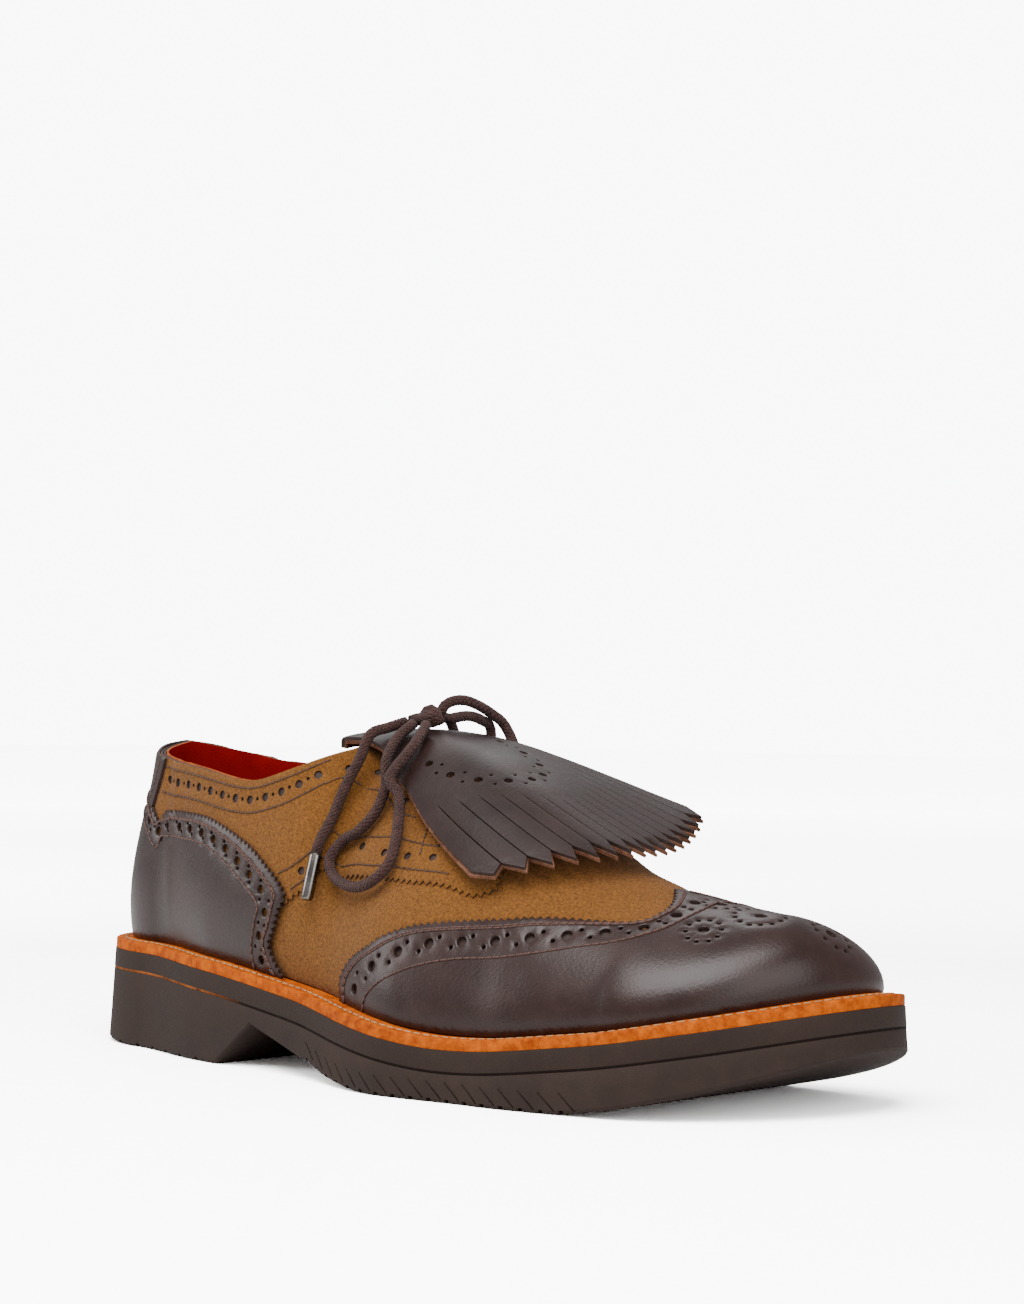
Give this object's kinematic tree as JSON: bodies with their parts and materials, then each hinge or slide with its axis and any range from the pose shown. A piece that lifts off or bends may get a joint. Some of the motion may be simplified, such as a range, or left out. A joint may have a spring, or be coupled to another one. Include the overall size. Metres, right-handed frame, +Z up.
{
  "type": "country brogue shoe",
  "caption": "Right-foot two-tone brogue with a wing toe cap, fringed kiltie, round laces and a leather welt over a rubber unit sole with heel.",
  "frame": {"origin": "on the floor under the middle of the shoe's bounding box, laces left out", "axes": "+X towards the toe, -Y towards the outer side of the foot, +Z up from the floor"},
  "size_m": [0.3066, 0.1171, 0.1201],
  "materials": {
    "suede": "tan suede",
    "dark_leather": "dark brown smooth calf, satin",
    "welt_leather": "orange-tan raw edge",
    "sole_rubber": "matt dark brown",
    "red_leather": "red lining leather",
    "cord": "woven round lace",
    "metal": "bright aglet"
  },
  "bodies": {
    "root": {"outsole": "sole_rubber", "midsole": "sole_rubber", "welt": "welt_leather", "insole": "red_leather", "upper": "suede", "toe_wing": "dark_leather", "heel_counter": "dark_leather", "backstay": "dark_leather", "tongue": "red_leather", "kiltie": "dark_leather", "lace_crossing": "cord", "lace_knot": "cord", "lace_loop_outer": "cord", "lace_loop_inner": "cord", "lace_end_outer": "cord", "lace_end_inner": "cord", "aglet_outer": "metal", "aglet_inner": "metal"}
  },
  "joints": []
}
